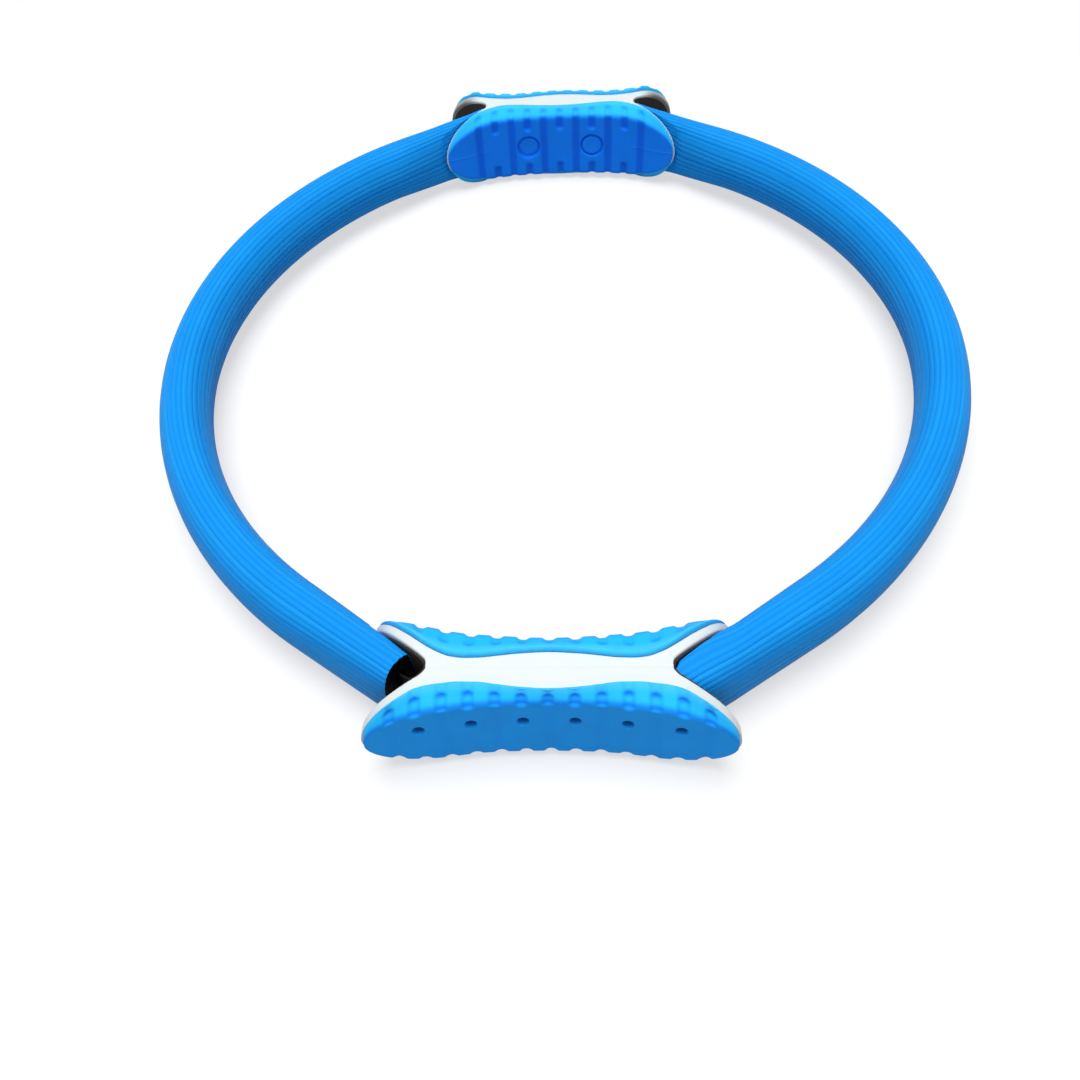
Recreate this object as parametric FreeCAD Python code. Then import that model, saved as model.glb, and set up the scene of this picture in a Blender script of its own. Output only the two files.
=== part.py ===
import FreeCAD, Part
import math
import os

os.makedirs("parts", exist_ok=True)
V = FreeCAD.Vector

# Driving dimensions in millimetres, +Z up, ring lying flat
HOOP_HALF_WIDTH = 178.5
ARC_SHIFT_SHARE = 0.1
LEAD_ANGLE = math.radians(53.66)
MEET_PAST_CROTCH = 6.1

# Sleeve, an oval fluted foam extrusion pressed into the mouths
SLEEVE_WIDE = 23.2
SLEEVE_HIGH = 32.8
SLEEVE_END_WIDE = 16.5
SLEEVE_END_HIGH = 36.0
SLEEVE_END_POWER = 2.6
SLEEVE_PAST_CROTCH = 0.6
FRONT_LEFT_PAST_CROTCH = 11.2
SLEEVE_CLEAR = 0.35
RIBS = 34
RIB_DEPTH = 0.6
BORE_WIDE = 4.8
BORE_HIGH = 20.0

# Spring leaves
LEAF_THICK = 1.0
LEAF_HIGH = 18.0
LEAF_GAP = 0.1
CRANK_RADIUS = 20.0
TANG_END_X = 10.0
HELPER_PAST_CROTCH = 16.6
LEAF_OPEN_IN = 2.2
LEAF_OPEN_OUT = 1.3

# Handle shells
SHELL_HALF_LONG = 67.4
SHELL_HALF_HIGH = 20.0
SHELL_END_LONG = 23.4
SEAM = 0.1
SLOT_CLEAR = 0.3
SLOT_END_CLEAR = 0.8
CORE_HALF_LONG = 7.0
CORE_HALF_HIGH = 15.0
CORE_DEEP = 4.4
PEG_X = 27.0
PEG_Z = 15.0
PEG_DIA = 3.0
PEG_LONG = 2.4
PEG_ROOT = 1.5
PEG_CLEAR = 0.15

# Screws and their bosses
SCREW_X = 19.0
SHANK_DIA = 3.9
CORE_DIA = 3.3
HEAD_DIA = 8.0
HEAD_HIGH = 2.6
CROSS_LONG = 4.4
CROSS_WIDE = 1.1
CROSS_DEEP = 1.5
SHANK_LONG = 16.0
SEAT_DEEP = 6.8
NECK_END = 0.7
INNER_BOSS_DIA = 12.0
INNER_BOSS_TOP = 12.6
INNER_BOSS_ROOT = 3.4
HEAD_BORE_DIA = 8.6
PASS_DIA = 4.5
OUTER_BOSS_DIA = 9.0
OUTER_BOSS_TOP = 11.6
OUTER_BOSS_ROOT = 3.0
PILOT_DIA = 3.5
PILOT_DEEP = 10.4
TANG_HOLE_DIA = 4.7

# Screw caps
CAP_DIA = 11.9
CAP_FACE_RECESS = 0.3
CAP_SEAT_CLEAR = 0.05
CAP_STEM_DIA = 8.3
CAP_STEM_LONG = 2.2

# Pads
PAD_CLEAR = 0.2
PAD_HOLE_CLEAR = 0.25
PAD_SHORT = 1.0
CREST_PROUD = 2.0
CREST_RISE = 0.35
CREST_FLAT = 1.4
BEVEL_HIGH = 4.0
PAD_END_LONG = 22.5
RIDGE_END_LONG = 30.4
GROOVE_RADIUS = 2.4
GROOVE_DEEP = 1.1
FAINT_DEEP = 0.35
GROOVE_OVER = 3.0
INNER_PITCH = 9.5
INNER_COUNT = 11
INNER_NOTCH_LONG = 9.0
OUTER_PITCH = 8.6
OUTER_COUNT = 13
OUTER_NOTCH_LONG = 3.0
PIT_RADIUS = 1.7
PIT_Z = 7.0
PIT_DEEP = 2.0

# Hose sockets lining the mouths
SOCKET_CLEAR = 0.3
SOCKET_THICK = 0.6
SOCKET_LOW = 1.0
SOCKET_SHORT = 1.6
ROOM_LONG = 100.0
ROOM_OUT_SLOPE = 0.6
ROOM_IN_SLOPE = 1.6

# Plan curves of the handle for the half length they were drawn at, distance from its middle plane
# against distance along it
DRAWN_HALF_LONG = 67.4
WEB_OUT = [(0, 9.0), (10, 8.4), (18, 7.3), (25, 6.4), (31, 6.3), (37, 6.9), (42, 7.7), (46, 8.9),
           (50, 11.0), (54, 13.0), (58, 14.8), (62, 16.6), (67.7, 19.1)]
WEB_IN = [(0, 6.2), (10, 5.7), (18, 4.8), (25, 4.0), (30, 3.9), (35, 4.5), (39, 6.0), (43, 8.2),
          (47, 11.0), (51, 14.2), (55, 17.4), (59, 20.7), (63, 23.6), (67.7, 26.4)]
FACE_OUT = [(0, 13.5), (12, 13.8), (20, 14.2), (30, 15.2), (38, 16.4), (45, 17.4), (52, 18.5), (60, 19.7),
            (67.7, 20.9)]
FACE_IN = [(0, 13.9), (20, 14.9), (30, 15.8), (36, 16.8), (42, 18.4), (48, 20.5), (54, 23.0), (60, 25.3),
           (67.7, 27.8)]
MOUTH = [(67.7, 15.5), (63, 12.9), (59, 10.8), (55.5, 9.0), (52, 7.0), (48.5, 4.8), (45.3, 2.6), (44.0, 1.0),
         (43.4, -0.9), (43.8, -2.7), (45.6, -5.0), (50, -8.9), (54, -12.4), (58, -16.0), (62, -19.6),
         (64.5, -21.8), (67.7, -24.4)]

# Worked out from the driving dimensions
STRETCH = SHELL_HALF_LONG / DRAWN_HALF_LONG
WEB_OUT, WEB_IN, FACE_OUT, FACE_IN, MOUTH = [[(STRETCH * u, v) for u, v in curve]
                                             for curve in (WEB_OUT, WEB_IN, FACE_OUT, FACE_IN, MOUTH)]
CROTCH_X = min(u for u, v in MOUTH)
ARC_SHIFT = ARC_SHIFT_SHARE * HOOP_HALF_WIDTH
ARC_RADIUS = HOOP_HALF_WIDTH + ARC_SHIFT
LEAD_X = ARC_RADIUS * math.cos(LEAD_ANGLE) - ARC_SHIFT
LEAD_Y = ARC_RADIUS * math.sin(LEAD_ANGLE)
MEET_X = CROTCH_X + MEET_PAST_CROTCH
HANDLE_Y = LEAD_Y + (LEAD_X - MEET_X) / math.tan(LEAD_ANGLE)
CREST_HALF_HIGH = SHELL_HALF_HIGH + CREST_PROUD
RIDGE_HALF_HIGH = CREST_HALF_HIGH - BEVEL_HIGH
PAD_HALF_LONG = SHELL_HALF_LONG - PAD_SHORT
MID_Z = CREST_HALF_HIGH
BIG = 4 * SHELL_HALF_LONG


def smooth(points):
    """Shape-keeping cubic through (x, y) points, even in x."""
    xs = [float(p[0]) for p in points]
    ys = [float(p[1]) for p in points]
    n = len(xs)
    h = [xs[i + 1] - xs[i] for i in range(n - 1)]
    d = [(ys[i + 1] - ys[i]) / h[i] for i in range(n - 1)]
    m = [0.0] * n
    m[-1] = d[-1]
    for i in range(1, n - 1):
        if d[i - 1] * d[i] > 0:
            m[i] = 3 * (h[i - 1] + h[i]) / ((2 * h[i] + h[i - 1]) / d[i - 1] + (h[i] + 2 * h[i - 1]) / d[i])

    def f(x):
        x = min(abs(x), xs[-1])
        i = 0
        while i < n - 2 and x > xs[i + 1]:
            i += 1
        t = (x - xs[i]) / h[i]
        return ((1 + 2 * t) * (1 - t) ** 2 * ys[i] + t * (1 - t) ** 2 * h[i] * m[i]
                + t * t * (3 - 2 * t) * ys[i + 1] + t * t * (t - 1) * h[i] * m[i + 1])
    return f


web_out, web_in = smooth(WEB_OUT), smooth(WEB_IN)
face_out, face_in = smooth(FACE_OUT), smooth(FACE_IN)


def end_drop(u, half_high, half_long, end_long):
    """Half height of a long outline with elliptical ends."""
    t = (abs(u) - half_long + end_long) / end_long
    return half_high if t <= 0 else half_high * math.sqrt(max(0.0, 1 - t * t))


def ridge_high(u):
    return end_drop(u, RIDGE_HALF_HIGH, PAD_HALF_LONG, RIDGE_END_LONG)


def spline(points):
    """Edge through the points."""
    c = Part.BSplineCurve()
    c.interpolate([V(*p) for p in points])
    return c.toShape()


def rod(x, y0, y1, z, dia):
    """Round bar along Y from y0 to y1."""
    return Part.makeCylinder(dia / 2.0, y1 - y0, V(x, y0, z), V(0, 1, 0))


def outline_block(half_high, half_long):
    """Side outline of the handle, run through its whole depth."""
    flat = half_long - SHELL_END_LONG
    edges = []
    for s in (1, -1):
        c = V(s * flat, 0, 0)
        tip, top = c + V(s * SHELL_END_LONG, 0, 0), c + V(0, 0, s * half_high)
        if SHELL_END_LONG >= half_high:
            edges.append(Part.ArcOfEllipse(Part.Ellipse(tip, top, c), -math.pi / 2, math.pi / 2).toShape())
        else:
            edges.append(Part.ArcOfEllipse(Part.Ellipse(top, c - V(s * SHELL_END_LONG, 0, 0), c),
                                           math.pi, 2 * math.pi).toShape())
        edges.append(Part.makeLine(V(-flat, 0, s * half_high), V(flat, 0, s * half_high)))
    block = Part.Face(Part.Wire(Part.__sortEdges__(edges))).extrude(V(0, BIG, 0))
    block.translate(V(0, -BIG / 2, 0))
    return block


def frame_solid():
    """Web and four arms of one handle, before it is split."""
    end = MOUTH[0][0]
    us = [end * i / 30.0 for i in range(-30, 31)]
    edges = [spline([(u, web_out(u), 0) for u in us]), spline([(u, -web_in(u), 0) for u in us])]
    for s in (1, -1):
        edges.append(spline([(s * u, v, 0) for u, v in MOUTH]))
        edges.append(Part.makeLine(V(s * end, web_out(end), 0), V(s * end, MOUTH[0][1], 0)))
        edges.append(Part.makeLine(V(s * end, -web_in(end), 0), V(s * end, MOUTH[-1][1], 0)))
    block = Part.Face(Part.Wire(Part.__sortEdges__(edges))).extrude(V(0, 0, 4 * SHELL_HALF_HIGH))
    block.translate(V(0, 0, -2 * SHELL_HALF_HIGH))
    return block.common(outline_block(SHELL_HALF_HIGH, SHELL_HALF_LONG))


def leaf_slots():
    wide = LEAF_THICK + 2 * SLOT_CLEAR
    high = LEAF_HIGH + 4 * SLOT_CLEAR
    cuts = []
    for s in (1, -1):
        box = Part.makeBox(CROTCH_X, wide, high, V(TANG_END_X - SLOT_END_CLEAR, -wide / 2, -high / 2))
        cuts.append(box if s > 0 else box.mirror(V(0, 0, 0), V(1, 0, 0)))
    return cuts


def halves():
    """Inner and outer shell of one handle."""
    frame = frame_solid()
    inner = frame.common(Part.makeBox(BIG, BIG, BIG, V(-BIG / 2, -BIG - SEAM / 2, -BIG / 2)))
    outer = frame.common(Part.makeBox(BIG, BIG, BIG, V(-BIG / 2, SEAM / 2, -BIG / 2)))
    core = Part.makeBox(2 * CORE_HALF_LONG, 2 * CORE_DEEP, 2 * CORE_HALF_HIGH,
                        V(-CORE_HALF_LONG, -CORE_DEEP, -CORE_HALF_HIGH))
    for s in (1, -1):
        x = s * SCREW_X
        inner = inner.fuse(rod(x, -INNER_BOSS_TOP, -INNER_BOSS_ROOT, 0, INNER_BOSS_DIA))
        outer = outer.fuse(rod(x, OUTER_BOSS_ROOT, OUTER_BOSS_TOP, 0, OUTER_BOSS_DIA))
    cuts_in, cuts_out = leaf_slots() + [core], leaf_slots() + [core]
    for s in (1, -1):
        x = s * SCREW_X
        cuts_in.append(rod(x, -2 * INNER_BOSS_TOP, -SEAT_DEEP, 0, HEAD_BORE_DIA))
        cuts_in.append(rod(x, -2 * SEAT_DEEP, SEAT_DEEP, 0, PASS_DIA))
        cuts_out.append(rod(x, -PILOT_DEEP, PILOT_DEEP, 0, PILOT_DIA))
        for t in (1, -1):
            cuts_out.append(rod(s * PEG_X, -PEG_LONG, PEG_LONG + 2 * PEG_CLEAR, t * PEG_Z, PEG_DIA + 2 * PEG_CLEAR))
    inner, outer = inner.cut(cuts_in), outer.cut(cuts_out)
    for s in (1, -1):
        for t in (1, -1):
            inner = inner.fuse(rod(s * PEG_X, -PEG_ROOT, PEG_LONG, t * PEG_Z, PEG_DIA))
    return one(inner.removeSplitter()), one(outer.removeSplitter())


def one(shape):
    """The single solid in a result."""
    solids = sorted(shape.Solids, key=lambda s: -s.Volume)
    return solids[0]


def pad_blank(sign, web, face):
    """Bevelled grip before its grooves, lofted along the handle."""
    flat = PAD_HALF_LONG - RIDGE_END_LONG
    half = [flat * i / 5.0 for i in range(5)]
    half += [flat + RIDGE_END_LONG * math.sin(math.radians(6.0 * i)) for i in range(14)]
    half.append(PAD_HALF_LONG - 0.2)
    us = [-u for u in reversed(half[1:])] + half
    wires = []
    for u in us:
        w, r = web(u) + PAD_CLEAR, face(u)
        zb = end_drop(u, CREST_HALF_HIGH + CREST_RISE, PAD_HALF_LONG + 0.1, PAD_END_LONG)
        zr = ridge_high(u)
        e = min(0.7, 0.16 * (r - w))
        f = min(CREST_FLAT, 0.24 * (r - w))
        g = min(1.2, 0.3 * (r - w))
        k = min(1.0, 0.3 * (zb - zr))
        upper = [(w, zb - min(0.8, 0.3 * zb)), (w + e, zb), (w + e + f, zb), (r - g, zr + k), (r, zr - 0.45 * k)]
        lower = [(v, -z) for v, z in reversed(upper)]
        pts = [V(u, sign * v, z) for v, z in upper + lower]
        wires.append(Part.makePolygon(pts + [pts[0]]))
    level = Part.makeBox(BIG, BIG, 2 * CREST_HALF_HIGH, V(-BIG / 2, -BIG / 2, -CREST_HALF_HIGH))
    return Part.makeLoft(wires, True, False).common(level)


def flute(u, v, z0, z1):
    """Upright groove cutter with round ends."""
    bar = Part.makeCylinder(GROOVE_RADIUS, z1 - z0, V(u, v, z0), V(0, 0, 1))
    return bar.fuse([Part.makeSphere(GROOVE_RADIUS, V(u, v, z0)), Part.makeSphere(GROOVE_RADIUS, V(u, v, z1))])


def groove_cuts(sign, face, at, deep, low):
    """Cutters at one place along a grip: down to low from both edges, or all the way where low is None."""
    v = sign * (face(at) + GROOVE_RADIUS - deep)
    top = ridge_high(at) + GROOVE_OVER
    if low is None:
        return [flute(at, v, -top, top)]
    return [flute(at, v, low, top), flute(at, v, -top, -low)]


def inner_pad():
    """Grip toward the ring's middle: full grooves and pairs of notches by turns, and two cap holes."""
    cuts = []
    for i in range(INNER_COUNT):
        at = (i - (INNER_COUNT - 1) / 2.0) * INNER_PITCH
        low = None if i % 2 == 0 else ridge_high(at) - INNER_NOTCH_LONG + GROOVE_RADIUS
        cuts += groove_cuts(-1, face_in, at, GROOVE_DEEP, low)
    for s in (1, -1):
        cuts.append(rod(s * SCREW_X, -BIG, 0, 0, INNER_BOSS_DIA + 2 * PAD_HOLE_CLEAR))
    return one(pad_blank(-1, web_in, face_in).cut(cuts))


def outer_pad():
    """Grip away from the ring's middle: short notches all along, with faint grooves and pits by turns."""
    cuts = []
    for i in range(OUTER_COUNT):
        at = (i - (OUTER_COUNT - 1) / 2.0) * OUTER_PITCH
        cuts += groove_cuts(1, face_out, at, GROOVE_DEEP, ridge_high(at) - OUTER_NOTCH_LONG + GROOVE_RADIUS)
        if i % 2 == 0:
            cuts += groove_cuts(1, face_out, at, FAINT_DEEP, None)
        else:
            cuts.append(rod(at, face_out(at) - PIT_DEEP, face_out(at) + PIT_DEEP, PIT_Z, 2 * PIT_RADIUS))
    for s in (1, -1):
        cuts.append(rod(s * SCREW_X, 0, OUTER_BOSS_TOP + PAD_CLEAR, 0, OUTER_BOSS_DIA + 2 * PAD_HOLE_CLEAR))
    return one(pad_blank(1, web_out, face_out).cut(cuts))


def screws():
    """Two cross-recess screws, heads toward the ring's middle."""
    out = []
    for s in (1, -1):
        x = s * SCREW_X
        head = rod(x, -SEAT_DEEP - HEAD_HIGH, -SEAT_DEEP, 0, HEAD_DIA)
        neck = rod(x, -SEAT_DEEP, NECK_END, 0, SHANK_DIA)
        core = rod(x, NECK_END, SHANK_LONG - SEAT_DEEP, 0, CORE_DIA)
        body = head.fuse([neck, core])
        for w, h in ((CROSS_WIDE, CROSS_LONG), (CROSS_LONG, CROSS_WIDE)):
            body = body.cut(Part.makeBox(w, CROSS_DEEP, h, V(x - w / 2, -SEAT_DEEP - HEAD_HIGH, -h / 2)))
        out.append(one(body.removeSplitter()))
    return Part.makeCompound(out)


def caps():
    """Two push-in plugs over the screw heads."""
    out = []
    for s in (1, -1):
        x = s * SCREW_X
        top = face_in(x) - CAP_FACE_RECESS
        disc = rod(x, -top, -INNER_BOSS_TOP - CAP_SEAT_CLEAR, 0, CAP_DIA)
        stem = rod(x, -INNER_BOSS_TOP - CAP_FACE_RECESS, -INNER_BOSS_TOP + CAP_STEM_LONG, 0, CAP_STEM_DIA)
        out.append(one(disc.fuse(stem).removeSplitter()))
    return Part.makeCompound(out)


def mouth_points(off):
    """Points along one mouth's wall moved into the mouth by off, from the outer tip to the inner tip."""
    curve = Part.BSplineCurve()
    curve.interpolate([V(u, v, 0) for u, v in MOUTH])
    pts = curve.discretize(121)
    out = []
    for i, p in enumerate(pts):
        t = (pts[min(len(pts) - 1, i + 1)] - pts[max(0, i - 1)]).normalize()
        out.append(p + V(-t.y, t.x, 0) * off)
    return out


def socket(s):
    """Thin dark lining of one mouth, open where the leaf passes."""
    near, far = [[tuple(p) for p in mouth_points(off)[::3]] for off in (SOCKET_CLEAR, SOCKET_CLEAR + SOCKET_THICK)]
    edges = [spline(near), spline(far)]
    edges.append(Part.makeLine(V(*near[0]), V(*far[0])))
    edges.append(Part.makeLine(V(*near[-1]), V(*far[-1])))
    body = Part.Face(Part.Wire(Part.__sortEdges__(edges))).extrude(V(0, 0, 2 * SHELL_HALF_HIGH))
    body.translate(V(0, 0, -SHELL_HALF_HIGH))
    body = body.common(outline_block(SHELL_HALF_HIGH - SOCKET_LOW, SHELL_HALF_LONG - SOCKET_SHORT))
    high = LEAF_HIGH + 4 * SLOT_CLEAR
    opening = Part.makeBox(BIG, LEAF_OPEN_IN + LEAF_OPEN_OUT, high, V(0, -LEAF_OPEN_IN, -high / 2))
    front = Part.makeBox(MEET_X, BIG, BIG, V(0, -BIG / 2, -BIG / 2))
    body = one(body.cut(opening.common(front)))
    return body if s > 0 else body.mirror(V(0, 0, 0), V(1, 0, 0))


# Hoop halves


def arc_end(side, end):
    """Point, outward normal and direction toward the handle where the arc stops."""
    c, s = math.cos(LEAD_ANGLE), math.sin(LEAD_ANGLE)
    return V(side * LEAD_X, end * LEAD_Y, 0), V(side * c, end * s, 0), V(-side * s, end * c, 0)


def fluted_wire(o, n, share):
    """Oval with equal convex ribs and sharp valleys, squarer and narrower by its share of the way to the end."""
    a = (SLEEVE_WIDE + (SLEEVE_END_WIDE - SLEEVE_WIDE) * share) / 2.0
    b = (SLEEVE_HIGH + (SLEEVE_END_HIGH - SLEEVE_HIGH) * share) / 2.0
    power = 2.0 / (2.0 + (SLEEVE_END_POWER - 2.0) * share)
    steps = 3600
    ring = []
    for i in range(steps + 1):
        c, s = math.cos(2 * math.pi * i / steps), math.sin(2 * math.pi * i / steps)
        ring.append((a * math.copysign(abs(c) ** power, c), b * math.copysign(abs(s) ** power, s)))
    run = [0.0]
    for i in range(steps):
        run.append(run[-1] + math.hypot(ring[i + 1][0] - ring[i][0], ring[i + 1][1] - ring[i][1]))
    pts, k = [], 0
    for j in range(2 * RIBS):
        want = run[-1] * j / (2 * RIBS)
        while run[k + 1] < want:
            k += 1
        x, z = ring[k]
        if j % 2:
            x, z = x * (1 - RIB_DEPTH / a), z * (1 - RIB_DEPTH / b)
        pts.append(o + n * x + V(0, 0, z))
    edges = []
    for j in range(1, 2 * RIBS, 2):
        edges.append(Part.Arc(pts[j], pts[(j + 1) % (2 * RIBS)], pts[(j + 2) % (2 * RIBS)]).toShape())
    return Part.Wire(edges)


def slot_wire(o, n):
    """Long bore with round ends."""
    r, h = BORE_WIDE / 2.0, BORE_HIGH / 2.0 - BORE_WIDE / 2.0
    p = [o + n * r + V(0, 0, -h), o + n * r + V(0, 0, h), o + V(0, 0, h + r),
         o - n * r + V(0, 0, h), o - n * r + V(0, 0, -h), o + V(0, 0, -h - r)]
    return Part.Wire([Part.makeLine(p[0], p[1]), Part.Arc(p[1], p[2], p[3]).toShape(),
                      Part.makeLine(p[3], p[4]), Part.Arc(p[4], p[5], p[0]).toShape()])


def lead_length(end_x):
    return (LEAD_X - end_x) / math.sin(LEAD_ANGLE)


def mouth_room(side, end):
    """Room left inside one mouth's lining, opened wide past the arms' tips."""
    pts = mouth_points(SOCKET_CLEAR + SOCKET_THICK + SLEEVE_CLEAR)
    pts = [pts[0] + V(ROOM_LONG, ROOM_LONG * ROOM_OUT_SLOPE, 0)] + pts
    pts.append(pts[-1] + V(ROOM_LONG, -ROOM_LONG * ROOM_IN_SLOPE, 0))
    pts = [V(side * p.x, end * (HANDLE_Y + p.y), -SLEEVE_END_HIGH) for p in pts]
    return Part.Face(Part.makePolygon(pts + [pts[0]])).extrude(V(0, 0, 2 * SLEEVE_END_HIGH))


def leaf_opening(side, end):
    """Wider way for the leaf where it bends out of the hose."""
    box = Part.makeBox(MEET_X - TANG_END_X, LEAF_OPEN_IN + LEAF_OPEN_OUT, BORE_HIGH,
                       V(TANG_END_X, HANDLE_Y - LEAF_OPEN_IN, -BORE_HIGH / 2))
    if side < 0:
        box = box.mirror(V(0, 0, 0), V(1, 0, 0))
    return box if end > 0 else box.mirror(V(0, 0, 0), V(0, 1, 0))


def sleeve(side, front_past):
    """One half of the hose: a revolved arc and at each end a lead that changes shape and fills its mouth."""
    o, n, t = arc_end(side, -1)
    axis = V(-side * ARC_SHIFT, 0, 0)
    turn = side * 2 * math.degrees(LEAD_ANGLE)
    arc = Part.Face(fluted_wire(o, n, 0)).revolve(axis, V(0, 0, 1), turn)
    parts = [arc.cut(Part.Face(slot_wire(o, n)).revolve(axis, V(0, 0, 1), turn))]
    whole = lead_length(CROTCH_X + SLEEVE_PAST_CROTCH)
    for end, past in ((1, SLEEVE_PAST_CROTCH), (-1, front_past)):
        o, n, t = arc_end(side, end)
        long = lead_length(CROTCH_X + past)
        lead = Part.makeLoft([fluted_wire(o, n, 0), fluted_wire(o + t * long, n, long / whole)], True, True)
        bore = Part.Face(slot_wire(o, n)).extrude(t * whole)
        parts.append(lead.common(mouth_room(side, end)).cut([bore, leaf_opening(side, end)]))
    return one(parts[0].fuse(parts[1:]))


def leaf_edges(side, off, tang):
    """Open chain of the leaf's path moved outward by off, from the front end to the back end."""
    r, bend = ARC_RADIUS + off, CRANK_RADIUS + off
    turn = math.pi / 2 - LEAD_ANGLE
    base = CRANK_RADIUS
    o, n, t = arc_end(1, 1)
    o = o + n * off
    corner = V(0, HANDLE_Y - base, 0)
    axis_line = o - n * bend
    k = (corner.y - axis_line.y) / t.y
    centre = axis_line + t * k
    pts = []
    if tang:
        pts.append((V(TANG_END_X, HANDLE_Y + off, 0), None))
        pts.append((V(centre.x, HANDLE_Y + off, 0), None))
        mid = V(centre.x + bend * math.sin(turn / 2), centre.y + bend * math.cos(turn / 2), 0)
        pts.append((V(centre.x + bend * math.sin(turn), centre.y + bend * math.cos(turn), 0), mid))
    else:
        pts.append((o + t * lead_length(CROTCH_X + HELPER_PAST_CROTCH), None))
    pts.append((o, None))
    back = pts
    chain = list(back) + [(V(o.x, -o.y, 0), V(r - ARC_SHIFT, 0, 0))]
    rev = list(reversed(back))
    for i in range(1, len(rev)):
        p = rev[i][0]
        m = rev[i - 1][1]
        chain.append((V(p.x, -p.y, 0), V(m.x, -m.y, 0) if m is not None else None))
    flip = lambda p: V(side * p.x, p.y, 0)
    return [(flip(p), flip(m) if m is not None else None) for p, m in chain]


def chain_edges(chain):
    out = []
    for (a, skip), (b, m) in zip(chain[:-1], chain[1:]):
        out.append(Part.makeLine(a, b) if m is None else Part.Arc(a, m, b).toShape())
    return out


def leaf(side, low, high, tang):
    """Flat spring between two offsets of the hoop line."""
    one_side, other = leaf_edges(side, low, tang), leaf_edges(side, high, tang)
    edges = chain_edges(one_side) + chain_edges(other)
    edges.append(Part.makeLine(one_side[0][0], other[0][0]))
    edges.append(Part.makeLine(one_side[-1][0], other[-1][0]))
    body = Part.Face(Part.Wire(Part.__sortEdges__(edges))).extrude(V(0, 0, LEAF_HIGH))
    body.translate(V(0, 0, -LEAF_HIGH / 2))
    if tang:
        body = body.cut([rod(side * SCREW_X, y - SEAT_DEEP, y + SEAT_DEEP, 0, TANG_HOLE_DIA) for y in (HANDLE_Y, -HANDLE_Y)])
    return one(body)


def save(name, shape):
    shape.translate(V(0, 0, MID_Z))
    shape.exportStep("parts/" + name + ".step")
    print(name, len(shape.Solids), shape.isValid(), round(shape.Volume, 1))


inner_shell, outer_shell = halves()
pieces = {
    "inner_shell": inner_shell,
    "outer_shell": outer_shell,
    "inner_pad": inner_pad(),
    "outer_pad": outer_pad(),
    "screws": screws(),
    "screw_caps": caps(),
}
for where, turn in (("back", 0), ("front", 180)):
    place = FreeCAD.Placement(V(0, HANDLE_Y if turn == 0 else -HANDLE_Y, 0), FreeCAD.Rotation(V(0, 0, 1), turn))
    for name, shape in pieces.items():
        copy = shape.copy()
        copy.Placement = place.multiply(copy.Placement)
        save(where + "_" + name, copy)
    for s in (1, -1):
        copy = socket(s)
        copy.Placement = place.multiply(copy.Placement)
        hand = "right" if s * (1 if turn == 0 else -1) > 0 else "left"
        save(where + "_" + hand + "_socket", copy)

half = LEAF_THICK / 2.0
for side, hand, past in ((1, "right", SLEEVE_PAST_CROTCH), (-1, "left", FRONT_LEFT_PAST_CROTCH)):
    save(hand + "_sleeve", sleeve(side, past))
    save(hand + "_main_leaf", leaf(side, -half, half, True))
    save(hand + "_helper_leaf", leaf(side, -half - LEAF_GAP - LEAF_THICK, -half - LEAF_GAP, False))
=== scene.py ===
"""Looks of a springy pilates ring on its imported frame. Sizes are millimetres, meshes are metres."""
import math

import bpy
import numpy as np
from mathutils import Matrix


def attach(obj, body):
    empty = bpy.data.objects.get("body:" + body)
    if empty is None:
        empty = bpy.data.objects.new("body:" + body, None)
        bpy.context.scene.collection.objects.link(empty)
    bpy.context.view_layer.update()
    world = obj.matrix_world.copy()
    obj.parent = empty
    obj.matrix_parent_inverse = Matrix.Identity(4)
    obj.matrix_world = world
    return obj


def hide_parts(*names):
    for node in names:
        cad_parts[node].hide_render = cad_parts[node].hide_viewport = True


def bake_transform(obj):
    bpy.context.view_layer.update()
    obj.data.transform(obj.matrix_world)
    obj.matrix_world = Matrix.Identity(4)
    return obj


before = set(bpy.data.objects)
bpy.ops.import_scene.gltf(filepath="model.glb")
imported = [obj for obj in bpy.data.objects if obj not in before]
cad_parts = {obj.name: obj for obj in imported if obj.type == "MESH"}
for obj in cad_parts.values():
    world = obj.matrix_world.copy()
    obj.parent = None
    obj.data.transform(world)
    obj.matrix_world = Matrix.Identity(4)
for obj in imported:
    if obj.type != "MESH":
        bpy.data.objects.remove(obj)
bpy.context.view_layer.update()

MM = 0.001

# Hoop, as in the solids
HOOP_HALF_WIDTH = 178.5
ARC_SHIFT = 17.85
ARC_RADIUS = HOOP_HALF_WIDTH + ARC_SHIFT
LEAD_ANGLE = math.radians(53.66)
LEAD_X = ARC_RADIUS * math.cos(LEAD_ANGLE) - ARC_SHIFT
LEAD_Y = ARC_RADIUS * math.sin(LEAD_ANGLE)
MEET_X = 49.5
HANDLE_Y = LEAD_Y + (LEAD_X - MEET_X) / math.tan(LEAD_ANGLE)
MID_Z = 22.0

# Hose: its oval on the flanks and at the ends, how the mouths hold it, its ribs, painted highlight streaks
# and bore
HOSE_WIDE, HOSE_HIGH = 23.2, 32.8
HOSE_END_WIDE, HOSE_END_HIGH, HOSE_END_POWER = 16.5, 36.0, 2.6
HOSE_END_X, FRONT_LEFT_END_X = 44.0, 54.6
HOSE_TIP_X, BORE_END_X = 44.65, 53.0
WALL_CLEAR, PRESS_PAST = 1.2, 15.0
OUTER_OPENS, INNER_OPENS = 0.6, 1.6
BACK_SLACK, SLACK_FROM, SLACK_LONG = 7.0, 105.0, 40.0
FILL, FILL_FROM, FILL_LONG = 5.0, 70.0, 18.0
RIBS, RIB_STEPS = 34, 8
RIB_DEPTH, RIB_POWER = 0.6, 2.2
WEAR, WEAR_CHANGE, WEAR_TURN, WEAR_SWAY = 0.5, 0.36, 2.3, 1.7
HIGHLIGHT_STREAKS = [(0.3, 7, 0.8), (0.2, 17, 2.1)]
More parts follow.
